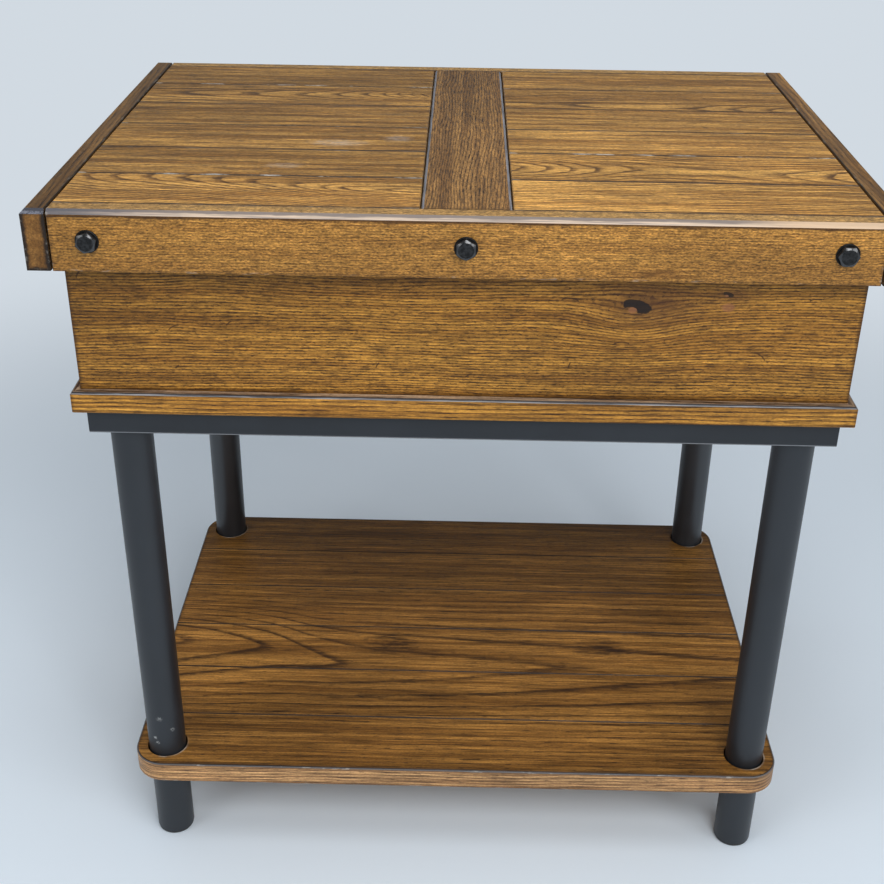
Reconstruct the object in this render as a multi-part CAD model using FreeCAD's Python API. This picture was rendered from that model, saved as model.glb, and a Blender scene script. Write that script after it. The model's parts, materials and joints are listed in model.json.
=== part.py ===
import FreeCAD, Part
import math
import os

# Lift-top end table, in millimetres. +Z is up, the front faces -Y, and the origin is on the
# floor under the middle of the table. A plank lid rides on two parallelogram linkages inside an
# oak box, and the box stands on a welded steel frame with round legs and a grooved shelf.

V = FreeCAD.Vector
ORIGIN = V(0, 0, 0)
X_AXIS = V(1, 0, 0)
Y_AXIS = V(0, 1, 0)
Z_AXIS = V(0, 0, 1)

# Lid boards
lid_width = 660.0
lid_depth = 480.0
skirt_height = 48.0
edge_board = 18.0
lid_chamfer = 3.6
board_gap = 1.5
gap_chamfer = 0.5
subtop_thickness = 9.0
plank_thickness = 10.0
plank_rows = 6
plank_bevel = 0.8
centre_board_width = 68.0
centre_board_gap = 1.2
centre_board_bevel = 2.0

# Flanged hex bolts in the front board, each turned as it was left by the spanner
bolt_flats = 14.3
bolt_head_height = 6.0
bolt_flange_diameter = 18.0
bolt_flange_rim = 0.8
bolt_flange_height = 1.4
bolt_shank_diameter = 8.0
bolt_shank_length = 14.0
bolt_end_inset = 48.0
bolt_face_share = 0.84
bolt_turns = (16.0, 30.0, 0.0)

# Box, its foot moulding and the steel band under it
box_wall = 15.0
box_wall_height = 136.5
box_floor_thickness = 9.0
skirt_clearance = 3.5
rim_chamfer = 1.0
moulding_height = 18.5
moulding_width = 46.0
moulding_projection = 7.0
moulding_chamfer = 1.6
bumper_thickness = 2.0
bumper_diameter = 10.0
bumper_end_inset = 60.0
frame_bottom = 456.5
band_height = 22.5
band_thickness = 3.0
band_chamfer = 0.6
flange_width = 30.0
frame_inset = 9.0
corner_plate_size = 62.0
corner_plate_thickness = 4.0
corner_plate_clip = 26.0

# Legs and shelf
leg_diameter = 35.0
leg_wall = 2.0
leg_gap_side = 8.0
leg_gap_front = 3.5
glide_height = 4.0
glide_round = 2.5
glide_plug_length = 12.0
glide_step = 0.4
shelf_top = 103.0
shelf_thickness = 22.0
shelf_margin = 12.0
shelf_edge_chamfer = 1.5
shelf_strips = 6
shelf_groove_depth = 1.0
shelf_hole_clearance = 1.5
edge_band_thickness = 0.8
collar_width = 7.0
collar_height = 4.0

# Lift linkage: both arms of a side lie 5 degrees below level, pointing back, when the lid is shut
arm_length = 180.0
arm_rest_angle = -5.0
arm_sweep = 90.0
arm_thickness = 4.0
arm_foot_radius = 13.0
arm_tip_radius = 11.0
pivot_setback = 28.5
rear_pivot_back = 90.0
rear_pivot_drop = 45.0
pin_diameter = 8.0
pin_shoulder_radius = 6.5
pin_head_radius = 7.0
pin_head_thickness = 2.0
pin_slip = 0.1
running_clearance = 0.05
pivot_gap = 1.0
hinge_plate_thickness = 2.5
hinge_plate_radius = 14.0
plate_floor_clearance = 1.0
rail_thickness = 2.5
rail_flange_width = 22.5
rail_strip_depth = 18.0
rail_front_reach = 75.0
rail_rear_reach = 35.0
cross_tube_diameter = 16.0
cross_tube_wall = 1.5
cross_tube_station = 130.0

# Gas strut: its two pins stand equally far from the front arm's pivot
strut_station = 80.0
strut_gap = 4.0
cylinder_diameter = 15.0
cylinder_wall = 1.2
cylinder_end_wall = 4.0
cylinder_guide = 6.0
rod_diameter = 6.0
piston_length = 5.0
piston_clearance = 0.2
strut_overlap = 12.0
strut_nose_gap = 14.0
eye_radius = 8.0
eye_thickness = 8.0
neck_inset = 0.3
neck_length = 4.0

# Countersunk wood screws
screw_length = 12.0
rail_screw_length = 9.0
screw_diameter = 3.6
screw_head_diameter = 8.0
screw_head_height = 2.2
screw_point = 2.5
frame_screw_front_x = 150.0
frame_screw_side_y = 90.0

# Levels, from the floor up
frame_top = frame_bottom + band_height
box_bottom = frame_top + moulding_height
box_floor_top = box_bottom + box_floor_thickness
rim = box_bottom + box_wall_height
lid_under = rim + bumper_thickness
plank_under = lid_under + subtop_thickness
table_height = plank_under + plank_thickness
skirt_bottom = table_height - skirt_height
shelf_bottom = shelf_top - shelf_thickness
corner_plate_under = frame_top - band_thickness - corner_plate_thickness

# Plan sizes, from the lid inwards
overhang = edge_board + skirt_clearance
box_width = lid_width - 2 * overhang
box_depth = lid_depth - 2 * overhang
inside_width = box_width - 2 * box_wall
inside_depth = box_depth - 2 * box_wall
moulding_ring_width = box_width + 2 * moulding_projection
moulding_ring_depth = box_depth + 2 * moulding_projection
frame_width = moulding_ring_width - 2 * frame_inset
frame_depth = moulding_ring_depth - 2 * frame_inset
leg_radius = leg_diameter / 2
leg_x = frame_width / 2 - band_thickness - leg_gap_side - leg_radius
leg_y = frame_depth / 2 - band_thickness - leg_gap_front - leg_radius
field_half_width = lid_width / 2 - edge_board
field_half_depth = lid_depth / 2 - edge_board

# Planes of the linkage on the right-hand side, from the box wall inwards
plate_outer = inside_width / 2
plate_inner = plate_outer - hinge_plate_thickness
arm_outer = plate_inner - pivot_gap
arm_inner = arm_outer - arm_thickness
web_outer = arm_inner - pivot_gap
web_inner = web_outer - rail_thickness
strut_x = web_inner - strut_gap - cylinder_diameter / 2
eye_outer = strut_x + eye_thickness / 2
eye_inner = strut_x - eye_thickness / 2
pin_radius = pin_diameter / 2
neck_radius = eye_thickness / 2 - neck_inset

# Pivots in the linkage's own plane, as (y, z) pairs
arm_angle = math.radians(arm_rest_angle)
arm_way = (math.cos(arm_angle), math.sin(arm_angle))
front_pivot = (
    -inside_depth / 2 + pivot_setback,
    box_floor_top + plate_floor_clearance + hinge_plate_radius + strut_station,
)
rear_pivot = (front_pivot[0] + rear_pivot_back, front_pivot[1] - rear_pivot_drop)
strut_foot = (front_pivot[0], front_pivot[1] - strut_station)


def along_arm(pivot, station):
    """Point of an arm at rest, a given way from its pivot."""
    return (pivot[0] + station * arm_way[0], pivot[1] + station * arm_way[1])


front_tip = along_arm(front_pivot, arm_length)
rear_tip = along_arm(rear_pivot, arm_length)
strut_head = along_arm(front_pivot, strut_station)
cross_tube_place = along_arm(front_pivot, cross_tube_station)

# The strut's length follows from the angle between its two pins, seen from the arm's pivot
strut_rest_spread = math.radians(90 + arm_rest_angle)
strut_open_spread = min(math.radians(90 + arm_rest_angle + arm_sweep), math.pi)
strut_closed = 2 * strut_station * math.sin(strut_rest_spread / 2)
strut_open = 2 * strut_station * math.sin(strut_open_spread / 2)
strut_way = V(0, math.cos(strut_rest_spread / 2), math.sin(strut_rest_spread / 2))

nodes = {}


def add(name, *solids):
    """Keep the solids of one node."""
    nodes.setdefault(name, []).extend(solids)


def block(x0, x1, y0, y1, z0, z1):
    return Part.makeBox(x1 - x0, y1 - y0, z1 - z0, V(x0, y0, z0))


def prism(points, way):
    """Closed polygon of vectors, pushed along a vector."""
    return Part.Face(Part.makePolygon(points + points[:1])).extrude(way)


def turned(profile, base, way, radial):
    """Solid of revolution from (distance along the axis, radius) pairs."""
    ring = [(profile[0][0], 0.0)] + profile + [(profile[-1][0], 0.0)]
    points = [base + way * s + radial * r for s, r in ring]
    return Part.Face(Part.makePolygon(points + points[:1])).revolve(base, way, 360)


def drill(place, way, radius, depth):
    return Part.makeCylinder(radius, depth, place, way)


def mirrored_x(shape):
    return shape.mirror(ORIGIN, X_AXIS)


def mirrored_y(shape):
    return shape.mirror(ORIGIN, Y_AXIS)


def both_sides(name, shape):
    """A right-hand piece and its mirror image, as two nodes."""
    add(name + "_right", shape)
    add(name + "_left", mirrored_x(shape))


def side_plate(points, radius, x0, x1):
    """Plate in the linkage's plane whose outline stands a radius off a polygon of (y, z) pairs."""
    corners = [V(x0, y, z) for y, z in points]
    face = Part.Face(Part.makePolygon(corners + corners[:1]))
    return face.makeOffset2D(radius).extrude(V(x1 - x0, 0, 0))


def link_plate(foot, foot_radius, tip, tip_radius, x0, x1):
    """Flat link: two round ends joined by the tangents of both."""
    run = math.hypot(tip[0] - foot[0], tip[1] - foot[1])
    lean = math.atan2(tip[1] - foot[1], tip[0] - foot[0])
    spread = math.acos((foot_radius - tip_radius) / run)

    def rim_point(centre, radius, angle):
        return V(x0, centre[0] + radius * math.cos(angle), centre[1] + radius * math.sin(angle))

    foot_high = rim_point(foot, foot_radius, lean + spread)
    foot_low = rim_point(foot, foot_radius, lean - spread)
    tip_high = rim_point(tip, tip_radius, lean + spread)
    tip_low = rim_point(tip, tip_radius, lean - spread)
    edges = [
        Part.LineSegment(foot_high, tip_high).toShape(),
        Part.Arc(tip_high, rim_point(tip, tip_radius, lean), tip_low).toShape(),
        Part.LineSegment(tip_low, foot_low).toShape(),
        Part.Arc(foot_low, rim_point(foot, foot_radius, lean + math.pi), foot_high).toShape(),
    ]
    return Part.Face(Part.Wire(edges)).extrude(V(x1 - x0, 0, 0))


def side_hole(centre, radius, x0, x1):
    """Cutter for a round hole through a plate of the linkage."""
    return drill(V(x0, centre[0], centre[1]), X_AXIS, radius, x1 - x0)


def side_pin(profile, x_start, centre):
    """Turned pin that starts at a plane and runs inwards, towards the middle of the table."""
    return turned(profile, V(x_start, centre[0], centre[1]), -X_AXIS, Y_AXIS)


def mitred_ring(prefix, width, depth, profile, cutters=()):
    """Four mitred strips round a rectangle, from (inset, z) pairs measured from the outer face."""
    reach = max(inset for inset, z in profile)
    low = min(z for inset, z in profile)
    high = max(z for inset, z in profile)
    half_w = width / 2
    half_d = depth / 2
    front_strip = prism([V(-half_w, -half_d + i, z) for i, z in profile], V(width, 0, 0))
    front_plan = [(-half_w, -half_d), (half_w, -half_d),
                  (half_w - reach, -half_d + reach), (-half_w + reach, -half_d + reach)]
    right_strip = prism([V(half_w - i, -half_d, z) for i, z in profile], V(0, depth, 0))
    right_plan = [(half_w, -half_d), (half_w, half_d),
                  (half_w - reach, half_d - reach), (half_w - reach, -half_d + reach)]

    def mitred(strip, plan):
        return strip.common(prism([V(x, y, low) for x, y in plan], V(0, 0, high - low)))

    front = mitred(front_strip, front_plan)
    right = mitred(right_strip, right_plan)
    sides = {"front": front, "back": mirrored_y(front), "right": right, "left": mirrored_x(right)}
    for side, strip in sides.items():
        for cutter in cutters:
            strip = strip.cut(cutter)
        add(prefix + "_" + side, strip)


def bevelled(solid, size, test):
    """Chamfer the straight edges whose two ends both pass a test."""
    edges = [e for e in solid.Edges if all(test(v.Point) for v in e.Vertexes)]
    return solid.makeChamfer(size, edges)


def near(value, target):
    return abs(value - target) < 1e-6


def screw_solid(place, way, length):
    """Countersunk screw whose flat head lies in the surface at its place."""
    radial = X_AXIS if abs(way.x) < 0.5 else Y_AXIS
    radius = screw_diameter / 2
    profile = [(0, screw_head_diameter / 2), (screw_head_height, radius),
               (length - screw_point, radius), (length, radius / 3)]
    return turned(profile, place, way, radial)


def screw_points_frame():
    """Screws up through the steel flange into the foot moulding, as (place, way)."""
    z = frame_top - band_thickness
    y = frame_depth / 2 - band_thickness - (flange_width - band_thickness) / 2
    x = frame_width / 2 - band_thickness - (flange_width - band_thickness) / 2
    front_back = [V(sx * frame_screw_front_x, sy * y, z) for sx in (-1, 1) for sy in (-1, 1)]
    sides = [V(sx * x, sy * frame_screw_side_y, z) for sx in (-1, 1) for sy in (-1, 1)]
    return [(place, Z_AXIS) for place in front_back + sides]


def middle(a, b):
    return ((a[0] + b[0]) / 2, (a[1] + b[1]) / 2)


def screw_points_plate():
    """Screws through the right-hand hinge plate, one on each side of its triangle."""
    corners = [front_pivot, rear_pivot, strut_foot]
    centres = [middle(corners[i], corners[i - 1]) for i in range(len(corners))]
    return [(V(plate_inner, y, z), X_AXIS) for y, z in centres]


def rail_span():
    return front_tip[0] - rail_front_reach, rear_tip[0] + rail_rear_reach


def screw_points_rail():
    """Screws up through the right-hand lid rail's flange into the subtop."""
    y0, y1 = rail_span()
    x = (web_inner + web_outer - rail_flange_width) / 2
    z = lid_under - rail_thickness
    end = rail_flange_width / 2
    return [(V(x, y, z), Z_AXIS) for y in (y0 + end, (y0 + y1) / 2, y1 - end)]


frame_screws = [screw_solid(place, way, screw_length) for place, way in screw_points_frame()]
plate_screws = [screw_solid(place, way, screw_length) for place, way in screw_points_plate()]
rail_screws = [screw_solid(place, way, rail_screw_length) for place, way in screw_points_rail()]


def clipped(u0, u1, v0, v1, clips):
    """Rectangle of (u, v) pairs with its corners clipped: low-low, high-low, high-high, low-high."""
    a, b, c, d = clips
    corners = [(u0, v0 + a), (u0 + a, v0), (u1 - b, v0), (u1, v0 + b),
               (u1, v1 - c), (u1 - c, v1), (u0 + d, v1), (u0, v1 - d)]
    return [p for i, p in enumerate(corners) if math.dist(p, corners[i - 1]) > 0]


def make_lid_boards():
    """Four boards round the lid; the side boards run through and show their end grain."""
    half_w = lid_width / 2
    half_d = lid_depth / 2
    inner = field_half_width
    thick = (inner, half_w)
    tall = (skirt_bottom, table_height)
    across = clipped(*thick, *tall, (0, 0, lid_chamfer, gap_chamfer))
    along = clipped(-half_d, half_d, *tall, (0, 0, lid_chamfer, lid_chamfer))
    plan = clipped(*thick, -half_d, half_d, (gap_chamfer, 0, 0, gap_chamfer))
    side = prism([V(x, -half_d, z) for x, z in across], V(0, lid_depth, 0))
    side = side.common(prism([V(inner, y, z) for y, z in along], V(edge_board, 0, 0)))
    side = side.common(prism([V(x, y, skirt_bottom) for x, y in plan], V(0, 0, skirt_height)))
    both_sides("lid_board", side)

    reach = field_half_width - board_gap
    thick = (-half_d, -field_half_depth)
    across = clipped(*thick, *tall, (0, 0, plank_bevel, lid_chamfer))
    along = clipped(-reach, reach, *tall, (0, 0, gap_chamfer, gap_chamfer))
    plan = clipped(-reach, reach, *thick, (gap_chamfer, gap_chamfer, 0, 0))
    front = prism([V(-reach, y, z) for y, z in across], V(2 * reach, 0, 0))
    front = front.common(prism([V(x, -half_d, z) for x, z in along], V(0, edge_board, 0)))
    front = front.common(prism([V(x, y, skirt_bottom) for x, y in plan], V(0, 0, skirt_height)))
    add("lid_board_back", mirrored_y(front))
    for x in bolt_places():
        hole = drill(V(x, -half_d, bolt_level()), Y_AXIS, bolt_shank_diameter / 2, bolt_shank_length)
        front = front.cut(hole)
    add("lid_board_front", front)


def bolt_places():
    return (-lid_width / 2 + bolt_end_inset, 0.0, lid_width / 2 - bolt_end_inset)


def bolt_level():
    return table_height - skirt_height / 2


def make_bolts():
    """Hex heads with a round flange and the usual chamfered face, each at its own angle."""
    corner = bolt_flats / math.sqrt(3)
    rim_radius = bolt_flange_diameter / 2
    face_radius = bolt_flats / 2 * bolt_face_share
    drop = (corner - face_radius) * math.tan(math.radians(30))
    for x, turn in zip(bolt_places(), bolt_turns):
        seat = V(x, -lid_depth / 2, bolt_level())
        angles = [math.radians(turn + 60 * i) for i in range(6)]
        points = [seat + V(corner * math.cos(a), 0, corner * math.sin(a)) for a in angles]
        blank = turned([(0, corner), (bolt_head_height - drop, corner), (bolt_head_height, face_radius)],
                       seat, -Y_AXIS, X_AXIS)
        head = prism(points, V(0, -bolt_head_height, 0)).common(blank)
        flange = turned([(0, rim_radius), (bolt_flange_rim, rim_radius), (bolt_flange_height, corner)],
                        seat, -Y_AXIS, X_AXIS)
        shank = drill(seat, Y_AXIS, bolt_shank_diameter / 2, bolt_shank_length)
        add("lid_bolts", head.fuse([flange, shank]).removeSplitter())


def make_planks():
    """Two fields of planks, the board that crosses between them, and the panel under them all."""
    subtop = block(-field_half_width, field_half_width, -field_half_depth, field_half_depth,
                   lid_under, plank_under)
    for screw in rail_screws:
        subtop = subtop.cut(screw).cut(mirrored_x(screw))
    add("lid_subtop", subtop)

    def on_top(p):
        return near(p.z, table_height)

    x0 = centre_board_width / 2 + centre_board_gap
    x1 = field_half_width - board_gap
    row = 2 * field_half_depth / plank_rows
    for i in range(plank_rows):
        y0 = -field_half_depth + i * row
        plank = block(x0, x1, y0, y0 + row, plank_under, table_height)
        plank = bevelled(plank, plank_bevel, on_top)
        add("lid_plank_right_%d" % (i + 1), plank)
        add("lid_plank_left_%d" % (i + 1), mirrored_x(plank))
    half = centre_board_width / 2
    centre = block(-half, half, -field_half_depth, field_half_depth, plank_under, table_height)
    centre = bevelled(centre, centre_board_bevel, lambda p: on_top(p) and p.x > 0)
    centre = bevelled(centre, centre_board_bevel, lambda p: on_top(p) and near(p.x, -half))
    add("lid_centre_board", centre)


def make_box():
    """Four mitred walls, the floor between them, the foot moulding and the rubber rests."""
    walls = [(0, box_bottom), (0, rim - rim_chamfer), (rim_chamfer, rim),
             (box_wall - rim_chamfer, rim), (box_wall, rim - rim_chamfer), (box_wall, box_bottom)]
    both = plate_screws + [mirrored_x(s) for s in plate_screws]
    mitred_ring("box", box_width, box_depth, walls, both)
    add("box_floor", block(-inside_width / 2, inside_width / 2, -inside_depth / 2, inside_depth / 2,
                           box_bottom, box_floor_top))
    c = moulding_chamfer
    foot = [(0, frame_top + c / 2), (0, box_bottom - c), (c, box_bottom),
            (moulding_width, box_bottom), (moulding_width, frame_top), (c / 2, frame_top)]
    mitred_ring("base_moulding", moulding_ring_width, moulding_ring_depth, foot, frame_screws)
    x = box_width / 2 - box_wall / 2
    y = box_depth / 2 - bumper_end_inset
    for sx in (-1, 1):
        for sy in (-1, 1):
            place = V(sx * x, sy * y, rim)
            add("rim_bumpers", drill(place, Z_AXIS, bumper_diameter / 2, bumper_thickness))


def make_frame():
    """Angle-iron ring with a plate in each corner for the leg."""
    t = band_thickness
    c = band_chamfer
    angle = [(0, frame_bottom + c), (0, frame_top - c), (c, frame_top), (flange_width, frame_top),
             (flange_width, frame_top - t), (t, frame_top - t), (t, frame_bottom), (c, frame_bottom)]
    mitred_ring("frame_rail", frame_width, frame_depth, angle, frame_screws)
    x1 = frame_width / 2 - t
    y1 = frame_depth / 2 - t
    x0 = x1 - corner_plate_size
    y0 = y1 - corner_plate_size
    clip = corner_plate_clip
    plan = [(x1, y1), (x0, y1), (x0, y0 + clip), (x0 + clip, y0), (x1, y0)]
    plate = prism([V(x, y, corner_plate_under) for x, y in plan], V(0, 0, corner_plate_thickness))
    for one in (plate, mirrored_x(plate)):
        add("corner_plates", one, mirrored_y(one))


def make_legs():
    """Round tubes from the corner plates to the plastic glides in their ends."""
    bore = leg_radius - leg_wall
    glide_edge = leg_radius - glide_step
    for side, sx in (("left", -1), ("right", 1)):
        for end, sy in (("front", -1), ("back", 1)):
            foot = V(sx * leg_x, sy * leg_y, glide_height)
            length = corner_plate_under - glide_height
            tube = drill(foot, Z_AXIS, leg_radius, length).cut(drill(foot, Z_AXIS, bore, length))
            add("leg_%s_%s" % (end, side), tube)
            base = V(sx * leg_x, sy * leg_y, 0)
            cap = drill(base, Z_AXIS, glide_edge, glide_height)
            cap = cap.makeFillet(glide_round, [e for e in cap.Edges if near(e.BoundBox.ZMax, 0)])
            add("foot_glides", cap.fuse(drill(foot, Z_AXIS, bore, glide_plug_length)))
            collar = V(sx * leg_x, sy * leg_y, shelf_bottom - collar_height)
            ring = drill(collar, Z_AXIS, leg_radius + collar_width, collar_height)
            add("shelf_collars", ring.cut(drill(collar, Z_AXIS, leg_radius, collar_height)))


def make_shelf():
    """Grooved panel with a banded edge; the corners run round the legs."""
    half_x = leg_x + leg_radius + shelf_margin
    half_y = leg_y + leg_radius + shelf_margin

    def outline(inset):
        plan = [(-leg_x, -leg_y), (leg_x, -leg_y), (leg_x, leg_y), (-leg_x, leg_y)]
        corners = [V(x, y, shelf_bottom) for x, y in plan]
        face = Part.Face(Part.makePolygon(corners + corners[:1]))
        face = face.makeOffset2D(leg_radius + shelf_margin - inset)
        return face.extrude(V(0, 0, shelf_thickness))

    whole = bevelled(outline(0), shelf_edge_chamfer, lambda p: near(p.z, shelf_top))
    whole = bevelled(whole, shelf_edge_chamfer, lambda p: near(p.z, shelf_bottom))
    inner = outline(edge_band_thickness)
    panel = whole.common(inner)
    band = whole.cut(inner)
    for sx in (-1, 1):
        for sy in (-1, 1):
            hole = V(sx * leg_x, sy * leg_y, shelf_bottom)
            panel = panel.cut(drill(hole, Z_AXIS, leg_radius + shelf_hole_clearance, shelf_thickness))
    d = shelf_groove_depth
    for i in range(1, shelf_strips):
        y = -half_y + 2 * half_y * i / shelf_strips
        groove = prism([V(-half_x, y, shelf_top - d), V(-half_x, y + 2 * d, shelf_top + d),
                        V(-half_x, y - 2 * d, shelf_top + d)], V(2 * half_x, 0, 0))
        panel = panel.cut(groove)
        band = band.cut(groove)
    add("shelf_panel", panel)
    add("shelf_edge_band", band)


def make_hinge_plates():
    """Triangular plates screwed to the box sides, with the fixed pins of the linkage."""
    plate = side_plate([front_pivot, strut_foot, rear_pivot], hinge_plate_radius, plate_inner, plate_outer)
    for centre in (front_pivot, rear_pivot, strut_foot):
        plate = plate.cut(side_hole(centre, pin_radius, plate_inner, plate_outer))
    for screw in plate_screws:
        plate = plate.cut(screw)
    both_sides("hinge_plate", plate)

    shoulder = hinge_plate_thickness + pivot_gap - pin_slip
    head = hinge_plate_thickness + pivot_gap + arm_thickness + pin_slip
    pivot = [(0, pin_radius), (hinge_plate_thickness, pin_radius),
             (hinge_plate_thickness, pin_shoulder_radius), (shoulder, pin_shoulder_radius),
             (shoulder, pin_radius), (head, pin_radius), (head, pin_head_radius),
             (head + pin_head_thickness, pin_head_radius)]
    for centre in (front_pivot, rear_pivot):
        pin = side_pin(pivot, plate_outer, centre)
        add("hinge_pins", pin, mirrored_x(pin))
    stud = side_pin(stud_profile(plate_outer, hinge_plate_thickness), plate_outer, strut_foot)
    add("hinge_pins", stud, mirrored_x(stud))


def stud_profile(x_start, root):
    """Stud that carries a strut eye: root in its plate, shoulder, journal and head."""
    shoulder = x_start - eye_outer - pin_slip
    head = x_start - eye_inner + pin_slip
    return [(0, pin_radius), (root, pin_radius), (root, pin_shoulder_radius),
            (shoulder, pin_shoulder_radius), (shoulder, pin_radius), (head, pin_radius),
            (head, pin_head_radius), (head + pin_head_thickness, pin_head_radius)]


def make_arms():
    """Tapered flat arms, the tube that ties the front pair, and the studs for the strut heads."""
    turning = pin_radius + running_clearance
    front = link_plate(front_pivot, arm_foot_radius, front_tip, arm_tip_radius, arm_inner, arm_outer)
    for centre in (front_pivot, front_tip):
        front = front.cut(side_hole(centre, turning, arm_inner, arm_outer))
    both_sides("front_arm", front.cut(side_hole(strut_head, pin_radius, arm_inner, arm_outer)))
    rear = link_plate(rear_pivot, arm_foot_radius, rear_tip, arm_tip_radius, arm_inner, arm_outer)
    for centre in (rear_pivot, rear_tip):
        rear = rear.cut(side_hole(centre, turning, arm_inner, arm_outer))
    both_sides("rear_arm", rear)

    radius = cross_tube_diameter / 2
    tube = side_hole(cross_tube_place, radius, -arm_inner, arm_inner)
    bore = side_hole(cross_tube_place, radius - cross_tube_wall, -arm_inner, arm_inner)
    add("cross_tube", tube.cut(bore))
    stud = side_pin(stud_profile(arm_outer, arm_thickness), arm_outer, strut_head)
    add("strut_studs", stud, mirrored_x(stud))


def make_lid_rails():
    """Angle rails under the lid: a flange for the screws and a web with the two upper pivots."""
    y0, y1 = rail_span()
    flange = block(web_outer - rail_flange_width, web_outer, y0, y1, lid_under - rail_thickness, lid_under)
    strip = block(web_inner, web_outer, y0, y1, lid_under - rail_strip_depth, lid_under)
    head = lid_under - arm_foot_radius
    web = side_plate([front_tip, (front_tip[0], head), (rear_tip[0], head), rear_tip],
                     arm_foot_radius, web_inner, web_outer)
    rail = web.fuse([strip, flange]).removeSplitter()
    for centre in (front_tip, rear_tip):
        rail = rail.cut(side_hole(centre, pin_radius, web_inner, web_outer))
    for screw in rail_screws:
        rail = rail.cut(screw)
    both_sides("lid_rail", rail)
    for screw in rail_screws:
        add("rail_screws", screw, mirrored_x(screw))

    start = arm_outer + pin_slip + pin_head_thickness
    shoulder = start - arm_inner + pin_slip
    root = start - web_outer
    end = start - web_inner
    profile = [(0, pin_head_radius), (pin_head_thickness, pin_head_radius),
               (pin_head_thickness, pin_radius), (shoulder, pin_radius),
               (shoulder, pin_shoulder_radius), (root, pin_shoulder_radius), (root, pin_radius),
               (end, pin_radius), (end, pin_shoulder_radius), (end + pivot_gap, pin_shoulder_radius)]
    for centre in (front_tip, rear_tip):
        pin = side_pin(profile, start, centre)
        add("lid_pins", pin, mirrored_x(pin))


def eye_and_neck(centre, way):
    """Flat eye on a stud, with the neck that leaves it along the strut."""
    place = V(eye_inner, centre[0], centre[1])
    neck = drill(V(strut_x, centre[0], centre[1]), way, neck_radius, eye_radius + neck_length)
    eye = drill(place, X_AXIS, eye_radius, eye_thickness).fuse(neck).removeSplitter()
    return eye.cut(drill(place, X_AXIS, pin_radius + running_clearance, eye_thickness))


def make_struts():
    """Gas struts: a cylinder on the hinge plate and a rod with its piston on the front arm."""
    foot = V(strut_x, strut_foot[0], strut_foot[1])
    head = V(strut_x, strut_head[0], strut_head[1])
    outer = cylinder_diameter / 2
    bore = outer - cylinder_wall
    start = eye_radius + neck_length
    end = strut_closed - strut_nose_gap
    case = turned([(start, outer), (end, outer)], foot, strut_way, X_AXIS)
    inside = [(start + cylinder_end_wall, bore), (end - cylinder_guide, bore)]
    case = case.cut(turned(inside, foot, strut_way, X_AXIS))
    rod_bore = rod_diameter / 2 + running_clearance
    case = case.cut(drill(foot + strut_way * (end - cylinder_guide), strut_way, rod_bore, cylinder_guide))
    both_sides("strut_cylinder", case.fuse(eye_and_neck(strut_foot, strut_way)).removeSplitter())

    rod_end = strut_open - (end - cylinder_guide - strut_overlap)
    piston = bore - piston_clearance
    radius = rod_diameter / 2
    rod = turned([(start, radius), (rod_end - piston_length, radius), (rod_end - piston_length, piston),
                  (rod_end, piston)], head, -strut_way, X_AXIS)
    both_sides("strut_rod", rod.fuse(eye_and_neck(strut_head, -strut_way)).removeSplitter())


def make_screws():
    """Screws that hold the steel frame and the hinge plates to the wood."""
    add("wood_screws", *frame_screws)
    for screw in plate_screws:
        add("wood_screws", screw, mirrored_x(screw))


make_lid_boards()
make_bolts()
make_planks()
make_box()
make_frame()
make_legs()
make_shelf()
make_hinge_plates()
make_arms()
make_lid_rails()
make_struts()
make_screws()

os.makedirs("parts", exist_ok=True)
for name, pieces in nodes.items():
    solids = [solid for piece in pieces for solid in piece.Solids]
    shape = solids[0] if len(solids) == 1 else Part.makeCompound(solids)
    shape.exportStep("parts/%s.step" % name)
    facts = (name, len(solids), shape.Volume / 1000, shape.isValid())
    print("%-22s %2d solids  %9.1f cm3  valid %s" % facts)

print("%d nodes, table %.1f high, legs at %.1f, %.1f" % (len(nodes), table_height, leg_x, leg_y))
print("pivots", front_pivot, rear_pivot, "tips", front_tip, rear_tip)
print("strut %.2f shut, %.2f open" % (strut_closed, strut_open))
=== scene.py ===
# %% [markdown]
# # Finishing a lift-top end table
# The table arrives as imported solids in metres, with +Z up and the front facing -Y. Nothing here moves
# or resizes them. This lesson gives every piece its finish, then adds the light, the floor and the camera.

# %% Load the solids
import bpy
import json
import math
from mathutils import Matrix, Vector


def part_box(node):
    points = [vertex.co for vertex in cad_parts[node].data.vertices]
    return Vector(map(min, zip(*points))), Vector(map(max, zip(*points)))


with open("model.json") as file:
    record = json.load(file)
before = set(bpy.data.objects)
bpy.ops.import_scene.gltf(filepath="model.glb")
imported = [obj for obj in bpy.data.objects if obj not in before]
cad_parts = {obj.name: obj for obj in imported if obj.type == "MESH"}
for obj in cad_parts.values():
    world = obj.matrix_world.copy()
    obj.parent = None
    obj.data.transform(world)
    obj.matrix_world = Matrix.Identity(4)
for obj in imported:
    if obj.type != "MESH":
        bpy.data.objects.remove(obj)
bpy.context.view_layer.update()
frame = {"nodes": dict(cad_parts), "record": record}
nodes = frame["nodes"]
scene = bpy.context.scene
scene.view_settings.view_transform = "Standard"

# %% [markdown]
# ## Small helpers for shader nodes
# A shader is a graph, and a graph written out link by link is hard to read. These helpers add one node,
# set its fields and feed its inputs in a single call. An input takes a number, a tuple or another
# node's output, so a formula can be nested much as it would be on paper.

# %% Helpers
NOISE_SPAN = (0.3, 0.7)


def put(tree, kind, inputs, **fields):
    """Add a node, set its fields, and set or connect its inputs by name or number."""
    node = tree.nodes.new(kind)
    for key, value in fields.items():
        setattr(node, key, value)
    for key, value in inputs.items():
        if isinstance(value, bpy.types.NodeSocket):
            tree.links.new(value, node.inputs[key])
        else:
            node.inputs[key].default_value = value
    return node


def calc(tree, operation, a, b=0.0, clamp=False):
    """One step of arithmetic."""
    return put(tree, "ShaderNodeMath", {0: a, 1: b}, operation=operation, use_clamp=clamp).outputs[0]


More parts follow.
